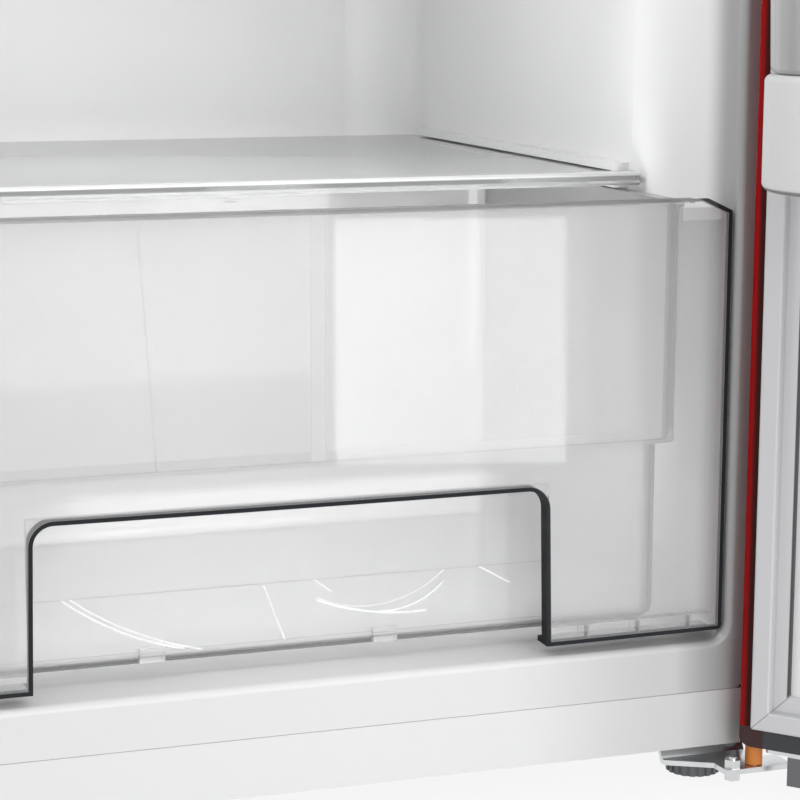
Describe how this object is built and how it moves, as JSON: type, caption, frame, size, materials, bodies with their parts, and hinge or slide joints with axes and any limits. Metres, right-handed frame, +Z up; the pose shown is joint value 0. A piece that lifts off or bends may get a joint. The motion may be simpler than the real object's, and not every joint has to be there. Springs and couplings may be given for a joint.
{
  "type": "upright refrigerator",
  "caption": "Upright refrigerator with a freezer above, bowed enamelled doors, glass shelves, a clear crisper drawer and clear door bins; the lower door stands open.",
  "frame": {"origin": "on the floor, below the middle of the cabinet's front face", "axes": "+Z up; +X to the right of someone who faces the doors; +Y back into the cabinet"},
  "size_m": [0.9343, 1.0368, 1.473],
  "materials": {
    "red_enamel": "gloss red enamel on steel sheet",
    "white_enamel": "white enamel on steel sheet",
    "liner_white": "vacuum-formed white polystyrene, satin",
    "trim_white": "moulded white plastic",
    "clear_plastic": "clear moulded polystyrene",
    "shelf_glass": "tempered glass",
    "lens_plastic": "frosted clear plastic",
    "lamp_glass": "frosted bulb glass",
    "gasket_grey": "soft light grey vinyl",
    "cap_grey": "dark grey moulded plastic",
    "bush_orange": "orange-brown nylon",
    "foot_grey": "grey moulded plastic",
    "black_rubber": "black rubber",
    "black_plastic": "black moulded plastic",
    "zinc_steel": "zinc-plated steel",
    "galvanised": "galvanised steel sheet",
    "chrome": "polished chrome plate",
    "black_paint": "satin black paint on steel",
    "white_wire": "white coating on steel wire",
    "plate_aluminium": "bright rolled aluminium",
    "copper": "bare copper tube",
    "foam": "rigid foam, closed cell"
  },
  "bodies": {
    "cabinet": {"cabinet_shell": "red_enamel", "back_panel": "galvanised", "base_pan": "galvanised", "compressor_rail": "galvanised", "front_rail": "white_enamel", "mullion_rail": "white_enamel", "cabinet_foam": "foam", "fridge_liner": "liner_white", "freezer_liner": "liner_white", "shelf_glass": "shelf_glass", "shelf_trim": "trim_white", "hinge_lower": "zinc_steel", "hinge_middle": "zinc_steel", "hinge_top": "zinc_steel", "hinge_cover": "cap_grey", "hinge_bolts": "zinc_steel", "tongue_bolt": "zinc_steel", "hinge_anchors": "galvanised", "foot_sockets": "black_plastic", "rear_feet": "black_plastic", "control_housing": "trim_white", "lamp": "lamp_glass", "lamp_lens": "lens_plastic", "freezer_shelf": "white_wire", "cold_plate": "plate_aluminium", "compressor": "black_paint", "compressor_mounts": "black_rubber", "relay_cover": "black_plastic", "drip_tray": "black_plastic", "drain_tube": "black_plastic", "condenser": "black_paint", "refrigerant_pipes": "copper", "power_inlet": "black_plastic"},
    "fridge_door": {"fridge_door_skin": "red_enamel", "fridge_door_foam": "foam", "fridge_door_liner": "liner_white", "fridge_door_gasket": "gasket_grey", "fridge_door_cap_low": "cap_grey", "fridge_door_cap_top": "cap_grey", "fridge_door_bush": "bush_orange", "fridge_door_handle": "chrome", "door_stop_plate": "zinc_steel", "door_bin_low": "clear_plastic", "door_bin_mid": "clear_plastic", "dairy_box": "clear_plastic"},
    "dairy_flap": {"dairy_lid": "trim_white"},
    "freezer_door": {"freezer_door_skin": "red_enamel", "freezer_door_foam": "foam", "freezer_door_liner": "liner_white", "freezer_door_gasket": "gasket_grey", "freezer_door_cap_low": "cap_grey", "freezer_door_cap_top": "cap_grey", "freezer_door_handle": "chrome", "freezer_door_bin": "clear_plastic"},
    "crisper": {"crisper_tub": "clear_plastic", "crisper_front": "clear_plastic"},
    "dial": {"control_dial": "trim_white"},
    "switch_plunger": {"door_switch": "trim_white"},
    "left_foot": {"foot_left": "foot_grey"},
    "right_foot": {"foot_right": "foot_grey"}
  },
  "joints": [
    {"name": "fridge_door_hinge", "type": "hinge", "parent": "cabinet", "child": "fridge_door", "pos_m": [0.2675, -0.0155, 0.028], "axis": [0, 0, 1], "range_deg": [-131, 0]},
    {"name": "freezer_door_hinge", "type": "hinge", "parent": "cabinet", "child": "freezer_door", "pos_m": [0.2675, -0.0155, 1.012], "axis": [0, 0, 1], "range_deg": [0, 130]},
    {"name": "crisper_slide", "type": "slide", "parent": "cabinet", "child": "crisper", "axis": [0, -1, 0], "range_m": [0, 0.23]},
    {"name": "dairy_lid_hinge", "type": "hinge", "parent": "fridge_door", "child": "dairy_flap", "pos_m": [0.42979, -0.22887, 0.818], "axis": [-0.6561, 0.7547, 0], "range_deg": [0, 80]},
    {"name": "dial_turn", "type": "hinge", "parent": "cabinet", "child": "dial", "pos_m": [-0.062, 0.15, 0.904], "axis": [0, 0, 1], "range_deg": [0, 270]},
    {"name": "switch_slide", "type": "slide", "parent": "cabinet", "child": "switch_plunger", "axis": [0, -1, 0], "range_m": [-0.00505, 0.0003]},
    {"name": "left_foot_turn", "type": "hinge", "parent": "cabinet", "child": "left_foot", "pos_m": [-0.2515, 0.03, 0.02], "axis": [0, 0, 1], "continuous": true},
    {"name": "right_foot_turn", "type": "hinge", "parent": "cabinet", "child": "right_foot", "pos_m": [0.2515, 0.03, 0.02], "axis": [0, 0, 1], "continuous": true}
  ],
  "couplings": [
    {"joint": "switch_slide", "follows": "fridge_door_hinge", "m_per_rad": 0.002187}
  ]
}
